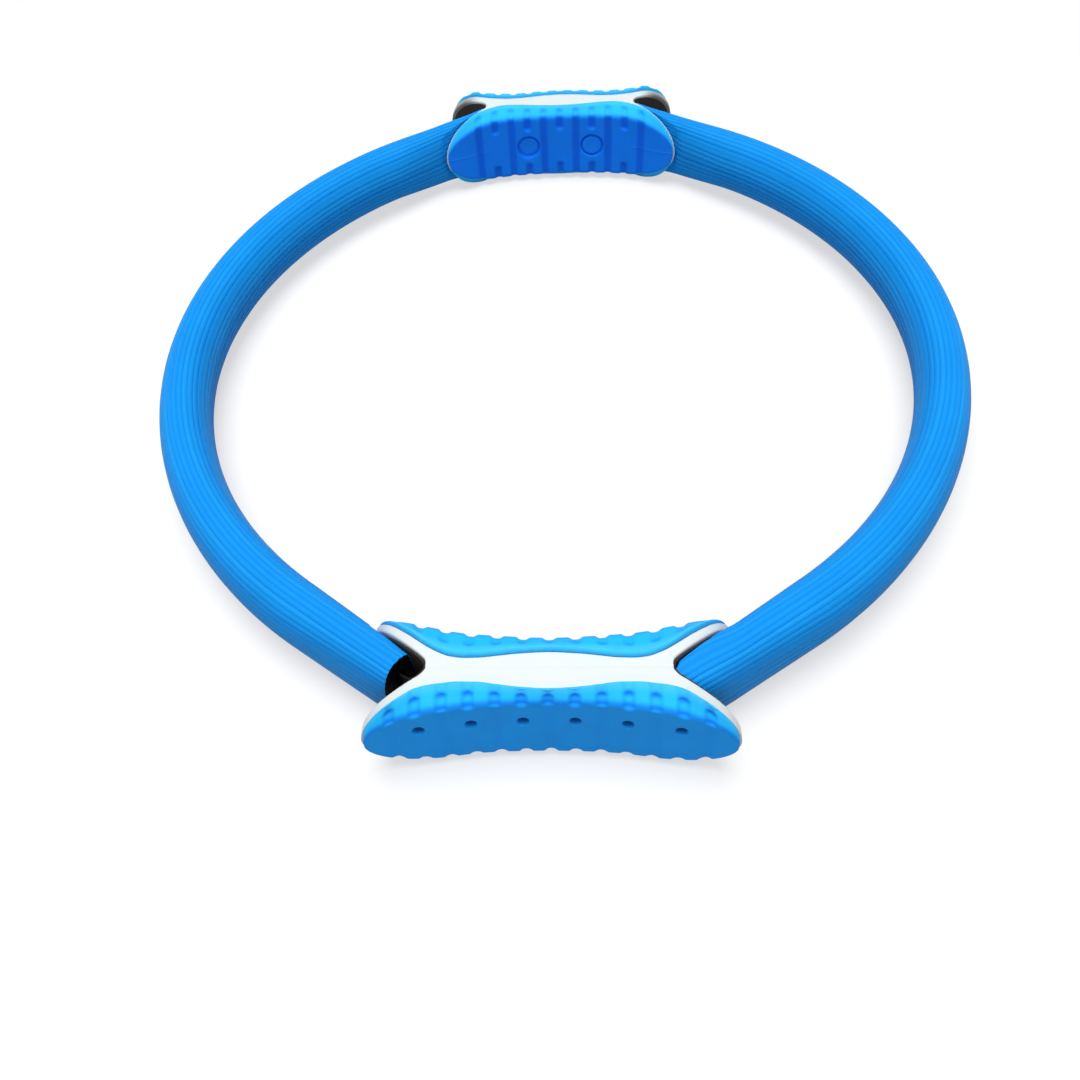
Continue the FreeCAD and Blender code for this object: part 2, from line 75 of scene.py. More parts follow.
BORE_WIDE, BORE_HIGH, BORE_SQUARE = 4.8, 20.0, 6.0
RIM_IN = 0.015
ARC_STEPS, LEAD_STEPS, BORE_EVERY = 49, 41, 4
OVAL_SAMPLES, WALL_SAMPLES = 7201, 400

# Spring leaves
LEAF_THICK, LEAF_HIGH, LEAF_GAP, LEAF_EDGE = 1.0, 18.0, 0.1, 0.25
CRANK_RADIUS = 20.0
TANG_END_X = 10.0
HELPER_END_X = 60.0
LEAF_LEAD_STEPS, CRANK_STEPS, TANG_STEPS = 17, 13, 9

# Handle frame
SHELL_HALF_LONG, SHELL_HALF_HIGH, SHELL_END_LONG = 67.4, 20.0, 23.4
SEAM, TIP_SHORT = 0.02, 0.02
RIM_ROUND, PAD_EDGE_ROUND, SEAM_ROUND = 1.0, 0.5, 0.03
# Where the painted shade on the back handle's outer arm starts, and over what length it grows
MOUTH_SHADE_FROM, MOUTH_SHADE_LONG = 47.0, 11.0
WEB_STEPS, ARM_STEPS, ARM_POWER = 40, 70, 1.6
TIP_STEPS, TIP_FROM, TIP_TO = 20, 1.1, 1.555
FRAME_BEND = 7

# Pads
PAD_CLEAR = 0.2
CREST_HALF_HIGH, CREST_RISE, CREST_PAST = 22.0, 0.35, 0.1
RIDGE_HALF_HIGH, PAD_HALF_LONG = 18.0, 66.4
PAD_END_LONG, RIDGE_END_LONG = 22.5, 30.4

# Corners of a pad's slice: the most each is set off, and its share of the depth or height there
BACK_DROP, BACK_DROP_SHARE = 0.8, 0.3
CREST_SET, CREST_SET_SHARE, CREST_FLAT_SHARE = 0.7, 0.12, 0.10
RIDGE_SET, RIDGE_SET_SHARE = 1.9, 0.24
RIDGE_LIFT, RIDGE_LIFT_SHARE, RIDGE_DROP_SHARE = 1.2, 0.3, 0.45
CORNER_CUTS = [0.5, 0.6, 0.9, 1.6, 1.6]

# Steps of a pad's grid, along it and down its face
PAD_BEND, CREST_STEPS, BEVEL_STEPS = 5, 2, 17
PAD_FINE, PAD_COARSE, PAD_EVEN_TO = 0.3, 0.46, 56.0
PAD_ROUND_STEPS, PAD_ROUND_TO = 34, 1.45
FACE_FINE, FACE_COARSE, FACE_EASED = 0.3, 0.5, 1.75
WELL_MARGIN, PIT_SPAN = 0.5, 2.4
INNER_FINE_FACE, OUTER_FINE_FACE = (0.0, 7.0), (4.4, 9.6)

# Relief of the pads and their painted light and shade, where tables have -1 for the inner pads and 1 for the
# outer ones
GROOVE_HALF_WIDE, GROOVE_DEEP, GROOVE_WALL = 2.9, 1.2, 2.3
GROOVE_BEVEL_SHARE, FAINT_DEEP = 0.92, 0.35
WHOLE_FACE = -99.0
CREST_WAVE, CREST_OVER = 0.8, 6.0
MOULD_LINE, MOULD_LINE_FROM, MOULD_LINE_LONG, MOULD_LINE_HALF = 0.16, 40.0, 4.0, 0.4
INNER_PITCH, OUTER_PITCH = 9.5, 9.25
INNER_COUNT, OUTER_COUNT = 11, 13
NOTCH_LONG = {-1: 9.0, 1: 3.4}
PIT_RADIUS, PIT_TALL, PIT_Z, PIT_DEEP = 2.0, 1.25, 5.4, 2.0
PIT_EASE, PIT_WALL = 0.45, 1.1
BEVEL_SHALLOW, SHALLOW_LONG = {-1: 0.5, 1: 0.0}, 2.4
# Painted shadow at the notches' tops: its amount, and how far down it reaches and how softly
ARCH_SHADOW, ARCH_LONG, ARCH_WALL = {-1: 0.5, 1: 1.1}, 4.2, 2.6
# Painted light: the share of the bevel's lit tone on each pad's face, and how it fades down past the ridge
FACE_PAINTED_LIGHT, BEVEL_LIGHT_LONG, BEVEL_LIGHT_START = {-1: 0.0, 1: 0.5}, 3.2, 0.4
# Painted shade under the outer pads' ridge and in the grooves, less where the bevel is painted lit
RIDGE_SHADE, EDGE_BELOW, EDGE_HALF = {-1: 0.0, 1: 0.5}, 0.5, 1.0
GROOVE_SHADE, GROOVE_SHADE_LESS = {-1: 1.0, 1: 0.35}, 0.75
# Painted highlight on a pad's crest: where it starts and over what length it grows
CREST_LIGHT_LONG, CREST_LIGHT_START = 2.0, 1.2

# Screw caps in the inner pads
SCREW_X = 19.0
WELL_RADIUS, WELL_DEEP, WELL_WALL = 6.6, 1.7, 1.7
CAP_RECESS = {"a": 1.15, "b": 0.55}
CAP_TILT = {"a": 0.05, "b": -0.03}
CAP_STEPS = 72

# Profile of a cap from the middle of its dish to the middle of its foot: distance from its axis, and fall
CAP_PROFILE = [(0.02, 0.2), (2.0, 0.16), (3.6, 0.06), (4.6, 0.0), (5.1, 0.06), (5.45, 0.2), (5.7, 0.42),
               (5.82, 0.65), (5.85, 0.9), (5.85, 1.4), (5.6, 1.6), (0.02, 1.6)]

# Plan curves of the handle: distance from its middle plane against distance along it
WEB_OUT = [(0, 9.0), (10, 8.4), (18, 7.3), (25, 6.4), (31, 6.3), (37, 6.9), (42, 7.7), (46, 8.9),
           (50, 11.0), (54, 13.0), (58, 14.8), (62, 16.6), (67.7, 19.1)]
WEB_IN = [(0, 6.2), (10, 5.7), (18, 4.8), (25, 4.0), (30, 3.9), (35, 4.5), (39, 6.0), (43, 8.2),
          (47, 11.0), (51, 14.2), (55, 17.4), (59, 20.7), (63, 23.6), (67.7, 26.4)]
FACE_OUT = [(0, 13.5), (12, 13.8), (20, 14.2), (30, 15.2), (38, 16.4), (45, 17.4), (52, 18.5), (60, 19.7),
            (67.7, 20.9)]
FACE_IN = [(0, 13.9), (20, 14.9), (30, 15.8), (36, 16.8), (42, 18.4), (48, 20.5), (54, 23.0), (60, 25.3),
           (67.7, 27.8)]
MOUTH_OUT = [(43.5, 0.01), (43.7, 0.5), (44.0, 1.0), (45.3, 2.6), (48.5, 4.8), (52, 7.0), (55.5, 9.0),
             (59, 10.8), (63, 12.9), (67.7, 15.5)]
MOUTH_IN = [(43.5, 0.01), (43.55, 1.2), (43.8, 2.7), (44.5, 3.9), (45.6, 5.0), (50, 8.9), (54, 12.4),
            (58, 16.0), (62, 19.6), (64.5, 21.8), (67.7, 24.4)]

# Camera, from the ring's middle at half its height
CAMERA_PLACE = (14.3, -377.1, 321.8)
CAMERA_RIGHT = (0.9979, 0.0319, -0.0556)
CAMERA_DOWN = (-0.0099, -0.7804, -0.6252)
CAMERA_LENS = 33.30
CAMERA_SENSOR = 36.0
CAMERA_SHIFT = (0.01432, -0.0045)

# Floor, in metres, and its levels of grey. WORLD_LIGHT is the strength of the white as a light
FLOOR_HALF, FLOOR_Z = 4.0, -0.0002
BACKDROP_FROM, BACKDROP_FULL = 0.6, 1.6
FLOOR_TONE, FLOOR_GLOW = 0.36, 0.61
WORLD_LIGHT = 0.16


# Numbers and curves


def ease(x):
    """Smooth step from 0 to 1 while x goes from 0 to 1."""
    x = np.clip(x, 0.0, 1.0)
    return x * x * (3.0 - 2.0 * x)


def smooth(points, level_start=True):
    """Shape-keeping cubic through (along, away) points, the same on both sides of 0.
    Slopes at the points are weighted harmonic means of the slopes beside them."""
    x, y = np.array(points, float).T
    h = np.diff(x)
    d = np.diff(y) / h
    m = np.zeros(len(x))
    m[0] = 0.0 if level_start else d[0]
    m[-1] = d[-1]
    a, b = h[1:] * 2 + h[:-1], h[1:] + h[:-1] * 2
    same = d[:-1] * d[1:] > 0
    m[1:-1][same] = (a + b)[same] / (a / np.where(same, d[:-1], 1) + b / np.where(same, d[1:], 1))[same]

    def curve(u):
        u = np.clip(np.abs(u), x[0], x[-1])
        i = np.clip(np.searchsorted(x, u) - 1, 0, len(h) - 1)
        t = (u - x[i]) / h[i]
        low = (1 + 2 * t) * (1 - t) ** 2 * y[i] + t * (1 - t) ** 2 * h[i] * m[i]
        return low + t * t * (3 - 2 * t) * y[i + 1] + t * t * (t - 1) * h[i] * m[i + 1]
    return curve


web_out, web_in = smooth(WEB_OUT), smooth(WEB_IN)
face_out, face_in = smooth(FACE_OUT), smooth(FACE_IN)
mouth_out, mouth_in = smooth(MOUTH_OUT, False), smooth(MOUTH_IN, False)


def end_drop(u, half_high, half_long, end_long):
    """Half height of a long outline: level, then a quarter ellipse over end_long at each end."""
    t = np.clip((np.abs(u) - half_long + end_long) / end_long, 0.0, 1.0)
    return half_high * np.sqrt(1.0 - t * t)


def ridge_high(u):
    """Half height of the line where a pad's bevel meets its face."""
    return end_drop(u, RIDGE_HALF_HIGH, PAD_HALF_LONG, RIDGE_END_LONG)


def lengths(rows):
    """Distance run along each row of points, from its first point."""
    step = np.linalg.norm(np.diff(rows, axis=1), axis=2)
    return np.concatenate([np.zeros((len(rows), 1)), np.cumsum(step, axis=1)], axis=1)


def eased_loop(corners, cuts, sides, bend, most=0.45):
    """Closed loops of corner points (rows, corners, 2). Each corner becomes a parabola of bend points that
    starts and ends cuts away from it, at most a share of the sides beside it. Each side is split at the
    shares that sides gives."""
    before, after = np.roll(corners, 1, axis=1), np.roll(corners, -1, axis=1)
    run_in = np.maximum(np.linalg.norm(corners - before, axis=2), 1e-6)
    run_out = np.maximum(np.linalg.norm(after - corners, axis=2), 1e-6)
    cut = np.minimum(np.array(cuts, float), most * np.minimum(run_in, run_out))
    start = corners + (before - corners) * (cut / run_in)[..., None]
    end = corners + (after - corners) * (cut / run_out)[..., None]
    t = np.linspace(0, 1, bend)[None, :, None]
    out = []
    for j in range(corners.shape[1]):
        a, p, b = start[:, None, j], corners[:, None, j], end[:, None, j]
        out.append((1 - t) ** 2 * a + 2 * t * (1 - t) * p + t * t * b)
        share = np.array(sides[j], float)[None, :, None]
        out.append(b + (start[:, None, (j + 1) % corners.shape[1]] - b) * share)
    return np.concatenate(out, axis=1)


def inner_shares(count):
    """Even shares of a side, without its ends."""
    return np.arange(1, count) / count


# Meshes


def skin(name, rows, material, ring=False, sharp=35.0, marks=None):
    """Closed mesh on a grid of points (rows, columns, 3) in millimetres. Columns always join up. Rows join
    up where ring is set, and otherwise each end is closed to a middle point. Faces are turned outward."""
    n, m = rows.shape[:2]
    points = rows.reshape(-1, 3)
    i = np.arange(n if ring else n - 1)[:, None]
    j = np.arange(m)[None, :]
    next_i, next_j = (i + 1) % n, (j + 1) % m
    quads = np.stack([i * m + j, i * m + next_j, next_i * m + next_j, next_i * m + j], axis=-1).reshape(-1, 4)
    fans = np.zeros((0, 3), int)
    if not ring:
        points = np.concatenate([points, rows[:1].mean(axis=1), rows[-1:].mean(axis=1)])
        first, last = np.arange(m), (n - 1) * m + np.arange(m)
        fans = np.concatenate([
            np.stack([np.roll(first, -1), first, np.full(m, n * m)], axis=-1),
            np.stack([last, np.roll(last, -1), np.full(m, n * m + 1)], axis=-1)])
    corners = points[quads]
    volume = np.einsum("ij,ij->i", np.cross(corners[:, 0], corners[:, 1]), corners[:, 2]).sum()
    volume += np.einsum("ij,ij->i", np.cross(corners[:, 0], corners[:, 2]), corners[:, 3]).sum()
    if volume < 0:
        quads, fans = quads[:, ::-1], fans[:, ::-1]
    mesh = bpy.data.meshes.new(name)
    mesh.vertices.add(len(points))
    mesh.vertices.foreach_set("co", (points * MM).astype(np.float32).ravel())
    mesh.loops.add(quads.size + fans.size)
    mesh.loops.foreach_set("vertex_index", np.concatenate([quads.ravel(), fans.ravel()]).astype(np.int32))
    mesh.polygons.add(len(quads) + len(fans))
    starts = np.concatenate([np.arange(len(quads)) * 4, quads.size + np.arange(len(fans)) * 3])
    mesh.polygons.foreach_set("loop_start", starts.astype(np.int32))
    mesh.update(calc_edges=True)
    mesh.polygons.foreach_set("use_smooth", np.ones(len(mesh.polygons), bool))
    mesh.set_sharp_from_angle(angle=math.radians(sharp))
    for mark, values in (marks or {}).items():
        values = np.concatenate([values.ravel(), np.zeros(len(points) - values.size)])
        layer = mesh.attributes.new(mark, "FLOAT", "POINT")
        layer.data.foreach_set("value", values.astype(np.float32))
    mesh.materials.append(material)
    made = bpy.data.objects.new(name, mesh)
    bpy.context.scene.collection.objects.link(made)
    return made


def on_handle(where, u, v, z):
    """Points along, away from and above the middle of the back or front handle, put in the ring's frame.
    The front handle is the back one turned by half a turn."""
    turn = 1.0 if where == "back" else -1.0
    u, v, z = np.broadcast_arrays(u, v, z)
    return np.stack([turn * u, turn * (HANDLE_Y + v), MID_Z + z], axis=-1)


# Materials


def new_group(name, inputs, outputs):
    """Empty shader node group with named sockets, and its input and output nodes."""
    group = bpy.data.node_groups.new(name, "ShaderNodeTree")
    for label, kind, value in inputs:
        group.interface.new_socket(label, in_out="INPUT", socket_type=kind).default_value = value
    for label, kind in outputs:
        group.interface.new_socket(label, in_out="OUTPUT", socket_type=kind)
    return group, group.nodes.new("NodeGroupInput"), group.nodes.new("NodeGroupOutput")


def feed(links, socket, value):
    """Links a node's output to an input socket, or sets the socket to a plain value."""
    if isinstance(value, bpy.types.NodeSocket):
        links.new(value, socket)
    else:
        socket.default_value = value


def math_node(nodes, links, operation, *values):
    """Math node with each input linked or set."""
    node = nodes.new("ShaderNodeMath")
    node.operation = operation
    for socket, value in zip(node.inputs, values):
        feed(links, socket, value)
    return node.outputs[0]


def mix_node(nodes, links, factor, first, second):
    """Colour mix with each input linked or set. Inputs 6 and 7 and output 2 are the node's colours."""
    node = nodes.new("ShaderNodeMix")
    node.data_type = "RGBA"
    for socket, value in ((0, factor), (6, first), (7, second)):
        feed(links, node.inputs[socket], value)
    return node.outputs[2]


def moulded_group():
    """Grain of a moulded surface: a cloudy change of colour and gloss, and a fine even height."""
    group, into, out = new_group(
        "moulded_grain",
        [("Color", "NodeSocketColor", (0.5, 0.5, 0.5, 1)), ("Cloud Size", "NodeSocketFloat", 60.0),
         ("Cloud Amount", "NodeSocketFloat", 0.06), ("Roughness", "NodeSocketFloat", 0.5),
         ("Gloss Change", "NodeSocketFloat", 0.1), ("Grain Size", "NodeSocketFloat", 1500.0)],
        [("Color", "NodeSocketColor"), ("Roughness", "NodeSocketFloat"), ("Height", "NodeSocketFloat")])
    nodes, links = group.nodes, group.links
    place = nodes.new("ShaderNodeTexCoord").outputs["Object"]
    cloud, grain = nodes.new("ShaderNodeTexNoise"), nodes.new("ShaderNodeTexNoise")
    cloud.inputs["Detail"].default_value = 3.0
    grain.inputs["Detail"].default_value = 2.0
    for node, size in ((cloud, "Cloud Size"), (grain, "Grain Size")):
        links.new(place, node.inputs["Vector"])
        links.new(into.outputs[size], node.inputs["Scale"])
    lift = math_node(nodes, links, "SUBTRACT", cloud.outputs[0], 0.5)
    shade = math_node(nodes, links, "MULTIPLY", lift, into.outputs["Cloud Amount"])
    bright = math_node(nodes, links, "ADD", shade, 1.0)
    scaled = nodes.new("ShaderNodeVectorMath")
    scaled.operation = "SCALE"
    links.new(into.outputs["Color"], scaled.inputs[0])
    links.new(bright, scaled.inputs["Scale"])
    links.new(scaled.outputs[0], out.inputs["Color"])
    gloss = math_node(nodes, links, "MULTIPLY", lift, into.outputs["Gloss Change"])
    links.new(math_node(nodes, links, "ADD", gloss, into.outputs["Roughness"]), out.inputs["Roughness"])
    links.new(grain.outputs[0], out.inputs["Height"])
    return group


def mark_node(nodes, name):
    """Value of one of the mesh's own marks."""
    node = nodes.new("ShaderNodeAttribute")
    node.attribute_name = name
    return node.outputs["Fac"]


MOULDED = moulded_group()


def finish(name, color, roughness, cloud, grain, bump, tones=(), **sockets):
    """Material of a moulded piece. roughness is (level, change), cloud is (size, amount), grain is a size and
    bump is (strength, millimetres). tones are (mark, amount, colour) mixed in by the mesh's own marks."""
    material = bpy.data.materials.new(name)
    material.use_nodes = True
    nodes, links = material.node_tree.nodes, material.node_tree.links
    shader = nodes["Principled BSDF"]
    group = nodes.new("ShaderNodeGroup")
    group.node_tree = MOULDED
    group.inputs["Cloud Size"].default_value = cloud[0]
    group.inputs["Cloud Amount"].default_value = cloud[1]
    group.inputs["Roughness"].default_value = roughness[0]
    group.inputs["Gloss Change"].default_value = roughness[1]
    group.inputs["Grain Size"].default_value = grain
    tone = (*color, 1)
    for mark, amount, other in tones:
        share = math_node(nodes, links, "MULTIPLY", mark_node(nodes, mark), amount)
        tone = mix_node(nodes, links, share, tone, (*other, 1))
    feed(links, group.inputs["Color"], tone)
    links.new(group.outputs["Color"], shader.inputs["Base Color"])
    links.new(group.outputs["Roughness"], shader.inputs["Roughness"])
    height = nodes.new("ShaderNodeBump")
    height.inputs["Strength"].default_value = bump[0]
    height.inputs["Distance"].default_value = bump[1] * MM
    links.new(group.outputs["Height"], height.inputs["Height"])
    links.new(height.outputs["Normal"], shader.inputs["Normal"])
    for label, value in sockets.items():
        shader.inputs[label.replace("_", " ").title().replace("Ior", "IOR")].default_value = value
    return material


# Pad rubber. Its tones are painted light and shade: the bevel lighter and the crest paler as if lit from
# above, grooves, notch tops and the line under the ridge darker, and pits near navy.
PAD_BLUE = finish("pad_rubber", (0.006, 0.225, 1.0), roughness=(0.6, 0.12), cloud=(90, 0.2), grain=1600,
                  bump=(0.25, 0.25),
                  tones=[("upper", 1.0, (0.018, 0.49, 1.0)), ("crest", 0.3, (0.10, 0.58, 0.98)),
                         ("painted_shade", 0.75, (0.003, 0.12, 0.80)), ("pit", 0.85, (0.002, 0.03, 0.17))],
                  specular_ior_level=0.08)
CAP_BLUE = finish("cap_rubber", (0.006, 0.225, 1.0), roughness=(0.55, 0.1), cloud=(120, 0.08), grain=1600,
                  bump=(0.2, 0.2), specular_ior_level=0.08)
# Hose foam. Its tones are painted light and shade: lighter highlight streaks, darker rib valleys, and a
# near-black cut end and bore.
HOSE_BLUE = finish("hose_foam", (0.006, 0.265, 0.77), roughness=(0.48, 0.12), cloud=(45, 0.16), grain=1300,
                   bump=(0.3, 0.3),
                   tones=[("highlight_streak", 0.5, (0.014, 0.36, 0.90)), ("painted_shade", 0.36, (0.002, 0.15, 0.62)),
                          ("inside", 1.0, (0.003, 0.004, 0.006))], specular_ior_level=0.05)
# White frame plastic. Its one tone is painted shade on the back handle's outer arm, darkening its faces
# toward the mouth near the tip.
FRAME_WHITE = finish("frame_plastic", (0.68, 0.725, 0.72), roughness=(0.34, 0.08), cloud=(40, 0.03),
                     grain=900, bump=(0.06, 0.15), tones=[("mouth_shade", 0.88, (0.09, 0.086, 0.08))],
                     specular_ior_level=0.3)
# Mouth linings, near-black: partly their own dark rubber, partly painted shade for the deep mouths
SOCKET_DARK = finish("socket_rubber", (0.022, 0.016, 0.012), roughness=(0.6, 0.15), cloud=(80, 0.5),
                     grain=1400, bump=(0.4, 0.3), specular_ior_level=0.2)
STEEL = finish("bright_steel", (0.56, 0.57, 0.58), roughness=(0.32, 0.15), cloud=(25, 0.12), grain=700,
               bump=(0.1, 0.1), metallic=1.0)
SPRING_STEEL = finish("black_steel", (0.006, 0.006, 0.007), roughness=(0.6, 0.15), cloud=(25, 0.2), grain=700,
                      bump=(0.1, 0.1), specular_ior_level=0.1)


# Hoop


def hoop_stations(lead_steps):
    """Even stations on a quarter's arc, 0 to 1, and then on its lead, 1 to 2."""
    return np.concatenate([np.linspace(0, 1, ARC_STEPS), 1 + np.linspace(0, 1, lead_steps)[1:]])


def hoop_line(side, end, off, stations):
    """One quarter of the hoop line at stations 0 to 1 for its arc and 1 to 2 for its straight lead, moved
    outward by off. Returns points without the lead's run, directions outward and onward, and the share of
    that run."""
    angle = LEAD_ANGLE * np.clip(stations, 0, 1)
    away = np.stack([side * np.cos(angle), end * np.sin(angle), 0 * angle], axis=-1)
    along = np.stack([-side * np.sin(angle), end * np.cos(angle), 0 * angle], axis=-1)
    middle = np.array([-side * ARC_SHIFT, 0, MID_Z])
    return middle + away * (ARC_RADIUS + off), away, along, np.clip(stations - 1, 0, 1)


def lead_length(end_x):
    """Length of the straight lead that ends at a distance from the ring's middle plane."""
    return (LEAD_X - end_x) / math.sin(LEAD_ANGLE)


def oval_phase():
    """Angles of an oval at even steps along its rim, and where each lies across its rib, -1 to 1."""
    fine = np.linspace(0, 2 * math.pi, OVAL_SAMPLES)
    rim = np.stack([HOSE_WIDE / 2 * np.cos(fine), HOSE_HIGH / 2 * np.sin(fine)], axis=-1)[None]
    run = lengths(rim)[0]
    count = RIBS * RIB_STEPS
    angle = np.interp(run[-1] * np.arange(count) / count, run, fine)
    across = (np.arange(count) / RIB_STEPS + 0.5) % 1.0 * 2.0 - 1.0
    return angle, across


def mouth_walls():
    """Room for the hose in a mouth: the walls moved in by WALL_CLEAR, as limits against distance along."""
    s = np.linspace(0, 1, WALL_SAMPLES) ** 2
    u = MOUTH_OUT[0][0] + (MOUTH_OUT[-1][0] - MOUTH_OUT[0][0]) * s
    limits = []
    for wall, sign in ((mouth_out, 1.0), (mouth_in, -1.0)):
        line = np.stack([u, sign * wall(u)], -1)
        step = np.gradient(line, axis=0)
        step /= np.linalg.norm(step, axis=1, keepdims=True)
        limits.append(line + np.stack([step[:, 1], -step[:, 0]], -1) * WALL_CLEAR * sign)
    return limits


def slack(end, u):
    """How far the hose's outer side is pressed in near the mouths at the back."""
    return BACK_SLACK * ease((SLACK_FROM - u) / SLACK_LONG) if end > 0 else 0.0 * u


def press(side, end, points, outer_side):
    """Flattens the hose where the arms of its mouth squeeze it. Past the arms' tips the room opens.
    At the back the hose's outer side, marked 1, is pressed in as well and leaves the outer arm bare. Its
    inner side swells to the inner arm, but not where it stops short."""
    u, v = side * points[..., 0], end * points[..., 1] - HANDLE_Y
    v = v - slack(end, u) * outer_side
    if (side, end) != (-1, -1):
        v = v - FILL * ease((FILL_FROM - u) / FILL_LONG) * (1 - outer_side)
    outer, inner = mouth_walls()
    past = np.maximum(u - MOUTH_IN[-1][0], 0.0)
    high = np.interp(u, outer[:, 0], outer[:, 1]) + OUTER_OPENS * past
    low = np.interp(u, inner[:, 0], inner[:, 1]) - INNER_OPENS * past
    held = np.where(past < PRESS_PAST, np.clip(v, np.minimum(low, high), high), v)
    return np.stack([points[..., 0], end * (HANDLE_Y + held), points[..., 2]], -1)


def hose(side, hand, end, where):
    """Quarter of the hose: an oval with convex ribs carried along the hoop line, turned in at its rim to a
    flat bore. On its lead it grows narrower, taller and squarer. It fills its mouth but for the front left
    one, where it stops short. Furrows and painted highlight streaks are sums of sines round the oval. The rib
    valleys carry painted shade, and the cut end and bore are painted near-black as shade."""
    short = (side, end) == (-1, -1)
    whole, long = lead_length(HOSE_END_X), lead_length(FRONT_LEFT_END_X if short else HOSE_END_X)
    stations = hoop_stations(LEAD_STEPS)
    line, away, along, lead = hoop_line(side, end, 0.0, stations)
    angle, across = oval_phase()
    furrow = np.arange(len(angle)) // RIB_STEPS
    wear = WEAR + WEAR_CHANGE * np.sin(furrow * WEAR_TURN + np.sin(furrow * WEAR_SWAY))
    valley = np.abs(across) ** RIB_POWER * wear
    share = (lead * long / whole)[:, None]
    depth = RIB_DEPTH * valley
    wide = HOSE_WIDE + (HOSE_END_WIDE - HOSE_WIDE) * share
    high = HOSE_HIGH + (HOSE_END_HIGH - HOSE_HIGH) * share
    power = 2.0 / (2.0 + (HOSE_END_POWER - 2.0) * share)
    c, s = np.cos(angle), np.sin(angle)
    out = wide / 2 * np.sign(c) * np.abs(c) ** power
    up = high / 2 * np.sign(s) * np.abs(s) ** power
    reach = (LEAD_X + math.cos(LEAD_ANGLE) * out - HOSE_TIP_X) / math.sin(LEAD_ANGLE)
    run = lead[:, None] * np.minimum(long, reach)
    rise = np.array([0, 0, 1.0])
    shell = line[:, None] + away[:, None] * out[..., None] + along[:, None] * run[..., None]
    shell = shell + rise * up[..., None]
    inward = away[:, None] * c[None, :, None] + rise * s[None, :, None]
    shell = press(side, end, shell, 0.5 + 0.5 * c) - inward * depth[None, :, None]
    r, h = BORE_WIDE / 2, (BORE_HIGH - BORE_WIDE) / 2
    bore_run = lead * (long if short else lead_length(BORE_END_X))
    core = line + along * bore_run[:, None]
    core[:, 1] -= end * 0.5 * slack(end, side * core[:, 0])
    bore_up = r * s + h * np.tanh(BORE_SQUARE * s)
    bore = core[:, None] + away[:, None] * (r * c)[None, :, None] + rise * bore_up[None, :, None]
    few = np.unique(np.append(np.arange(0, len(stations), BORE_EVERY), len(stations) - 1))
    rim = shell[-1:] * (1 - RIM_IN) + shell[-1:].mean(axis=1, keepdims=True) * RIM_IN
    rows = np.concatenate([shell, rim, bore[few][::-1]])
    # Painted shade: the cut end and the bore are near-black
    inside = np.concatenate([np.zeros(len(shell)), np.ones(len(few) + 1)])[:, None] + 0 * valley
    # Painted highlight: lighter streaks round the oval, running along the hose
    highlight_streak = 0.5 + sum(amount * np.sin(turns * angle + start) for amount, turns, start in HIGHLIGHT_STREAKS)
    tall = (len(rows), 1)
    # Painted shade: the rib valleys are darker by their depth
    marks = {"painted_shade": np.tile(valley, tall), "highlight_streak": np.tile(highlight_streak, tall), "inside": inside}
    return skin(f"{hand}_hose_{where}", rows, HOSE_BLUE, ring=True, marks=marks)


def leaf_line(side, end, off, tang):
    """Quarter of a spring leaf's line: the hoop line, then for a main leaf a bend into the handle's
    middle plane and a straight tang."""
    line, away, along, lead = hoop_line(side, end, off, hoop_stations(LEAF_LEAD_STEPS))
    if not tang:
        return line + along * (lead * lead_length(HELPER_END_X))[:, None], away
    turn = math.pi / 2 - LEAD_ANGLE
    c, s = math.cos(LEAD_ANGLE), math.sin(LEAD_ANGLE)
    edge = np.array([LEAD_X - c * CRANK_RADIUS, LEAD_Y - s * CRANK_RADIUS])
    long = (HANDLE_Y - CRANK_RADIUS - edge[1]) / c
    centre = edge + np.array([-s, c]) * long
    line = line + along * (lead * long)[:, None]
    a = turn * (1 - np.linspace(0, 1, CRANK_STEPS)[1:])
    bend_away = np.stack([side * np.sin(a), end * np.cos(a), 0 * a], axis=-1)
    middle = np.array([side * centre[0], end * centre[1], MID_Z])
    bend = middle + bend_away * (CRANK_RADIUS + off)
    x = np.linspace(centre[0], TANG_END_X, TANG_STEPS)[1:]
    straight = np.stack([side * x, 0 * x + end * (HANDLE_Y + off), 0 * x + MID_Z], axis=-1)
    straight_away = np.broadcast_to(np.array([0.0, end, 0.0]), straight.shape)
    return np.concatenate([line, bend, straight]), np.concatenate([away, bend_away, straight_away])


def leaf(side, hand, end, where, kind):
    """Quarter of a flat spring: a thin upright rectangle with eased edges carried along its line."""
    tang = kind == "main"
    off = 0.0 if tang else -LEAF_THICK - LEAF_GAP
    line, away = leaf_line(side, end, off, tang)
    t, h = LEAF_THICK / 2, LEAF_HIGH / 2
    corners = np.array([[[t, -h], [t, h], [-t, h], [-t, -h]]])
    loop = eased_loop(corners, [LEAF_EDGE] * 4, [inner_shares(4), [], inner_shares(4), []], 4)[0]
    rows = line[:, None] + away[:, None] * loop[None, :, :1] + np.array([0, 0, 1.0]) * loop[None, :, 1:]
    return skin(f"{hand}_{kind}_leaf_{where}", rows, SPRING_STEEL)


def hoop_half(side, hand):
    """Hose and leaves of one side, each quarter running from its handle to the middle of the bow."""
    for end, where, far in ((1, "back", "back_handle"), (-1, "front", f"{hand}_front_end")):
        made = [(hose(side, hand, end, where), f"{hand}_sleeve")]
        for kind in ("main", "helper"):
            made.append((leaf(side, hand, end, where, kind), f"{hand}_{kind}_leaf"))
        for piece, node in made:
            if where == "back":
                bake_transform(piece)
            else:
                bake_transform(piece)
            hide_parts(node)


# Handle frame


